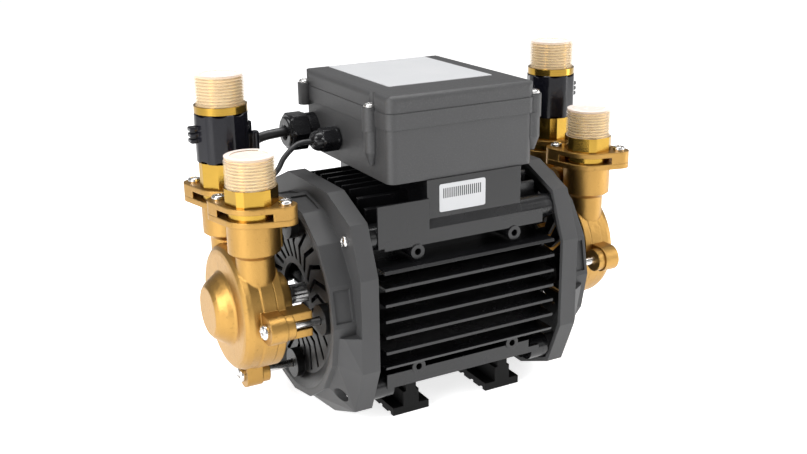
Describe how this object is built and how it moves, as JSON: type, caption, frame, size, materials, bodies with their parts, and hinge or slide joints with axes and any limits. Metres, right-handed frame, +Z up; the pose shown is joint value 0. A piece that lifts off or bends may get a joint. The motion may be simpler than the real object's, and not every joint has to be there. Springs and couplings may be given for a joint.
{
  "type": "shower pump",
  "caption": "Twin impeller shower pump: a finned motor on rubber feet with a brass pump and capped ports at each end, flow switches and a terminal box with mains flex.",
  "frame": {"origin": "on the floor under the middle of the motor, cord left out", "axes": "+X along the motor shaft to the right seen from the front, -Y the front, +Z up"},
  "size_m": [0.294, 0.2428, 0.2046],
  "materials": {
    "black_casting": "glossy black stove enamel on cast aluminium",
    "core_steel": "varnished steel laminations",
    "copper": "enamelled copper wire",
    "shaft_steel": "ground steel",
    "screw_steel": "bright zinc plated or stainless steel",
    "grey_plastic": "satin dark grey moulded plastic, fine texture",
    "black_plastic": "satin black moulded plastic",
    "rubber": "matt black rubber",
    "cable": "satin black flexible sheath",
    "white_label": "white printed film, left blank",
    "white_plastic": "off-white moulded plastic or ceramic",
    "board": "green solder mask",
    "cast_brass": "bead blasted cast brass, satin",
    "machined_brass": "bright turned brass",
    "milky_plastic": "translucent milky thread protector"
  },
  "bodies": {
    "pump_body": {"motor_housing": "black_casting", "stator_core": "core_steel", "stator_windings": "copper", "bearings": "shaft_steel", "bearing_bracket_left": "black_casting", "bearing_bracket_right": "black_casting", "end_cover_left": "grey_plastic", "end_cover_right": "grey_plastic", "cover_screws": "screw_steel", "foot_left": "rubber", "foot_right": "rubber", "terminal_box": "grey_plastic", "box_lid": "grey_plastic", "lid_gasket": "rubber", "lid_screws": "screw_steel", "blank_labels": "white_label", "capacitor": "white_plastic", "control_board": "board", "terminal_block": "black_plastic", "mains_gland_body": "black_plastic", "mains_gland_cap": "black_plastic", "lead_gland_left": "black_plastic", "lead_gland_right": "black_plastic", "switch_lead_left": "cable", "switch_lead_right": "cable", "pump_casing_left": "cast_brass", "pump_casing_right": "cast_brass", "back_plate_left": "cast_brass", "back_plate_right": "cast_brass", "casing_seals": "rubber", "seal_seats": "white_plastic", "pump_bolts": "screw_steel", "port_clamps": "cast_brass", "clamp_screws": "screw_steel", "port_seals": "rubber", "union_front_left": "machined_brass", "union_front_right": "machined_brass", "switch_tube_left": "machined_brass", "switch_tube_right": "machined_brass", "switch_head_left": "machined_brass", "switch_head_right": "machined_brass", "switch_sleeve_left": "black_plastic", "switch_sleeve_right": "black_plastic", "mains_flex": "cable", "flex_coil": "cable", "flex_tail": "cable", "flex_cores": "copper", "cord_tie": "black_plastic"},
    "rotor": {"rotor_core": "core_steel", "motor_shaft": "shaft_steel", "cooling_fan": "black_plastic", "impeller_left": "black_plastic", "impeller_right": "black_plastic", "shaft_seals": "shaft_steel"},
    "left_float": {"float_left": "white_plastic"},
    "right_float": {"float_right": "white_plastic"},
    "front_left_cap": {"cap_front_left": "milky_plastic"},
    "front_right_cap": {"cap_front_right": "milky_plastic"},
    "rear_left_cap": {"cap_rear_left": "milky_plastic"},
    "rear_right_cap": {"cap_rear_right": "milky_plastic"}
  },
  "joints": [
    {"name": "rotor_spin", "type": "hinge", "parent": "pump_body", "child": "rotor", "pos_m": [0, 0, 0.0705], "axis": [1, 0, 0], "continuous": true},
    {"name": "left_float_lift", "type": "slide", "parent": "pump_body", "child": "left_float", "axis": [0, 0, 1], "range_m": [0, 0.008]},
    {"name": "right_float_lift", "type": "slide", "parent": "pump_body", "child": "right_float", "axis": [0, 0, 1], "range_m": [0, 0.008]},
    {"name": "front_left_cap_pull", "type": "slide", "parent": "pump_body", "child": "front_left_cap", "axis": [0, 0, 1], "range_m": [0, 0.022]},
    {"name": "front_right_cap_pull", "type": "slide", "parent": "pump_body", "child": "front_right_cap", "axis": [0, 0, 1], "range_m": [0, 0.022]},
    {"name": "rear_left_cap_pull", "type": "slide", "parent": "pump_body", "child": "rear_left_cap", "axis": [0, 0, 1], "range_m": [0, 0.022]},
    {"name": "rear_right_cap_pull", "type": "slide", "parent": "pump_body", "child": "rear_right_cap", "axis": [0, 0, 1], "range_m": [0, 0.022]}
  ]
}
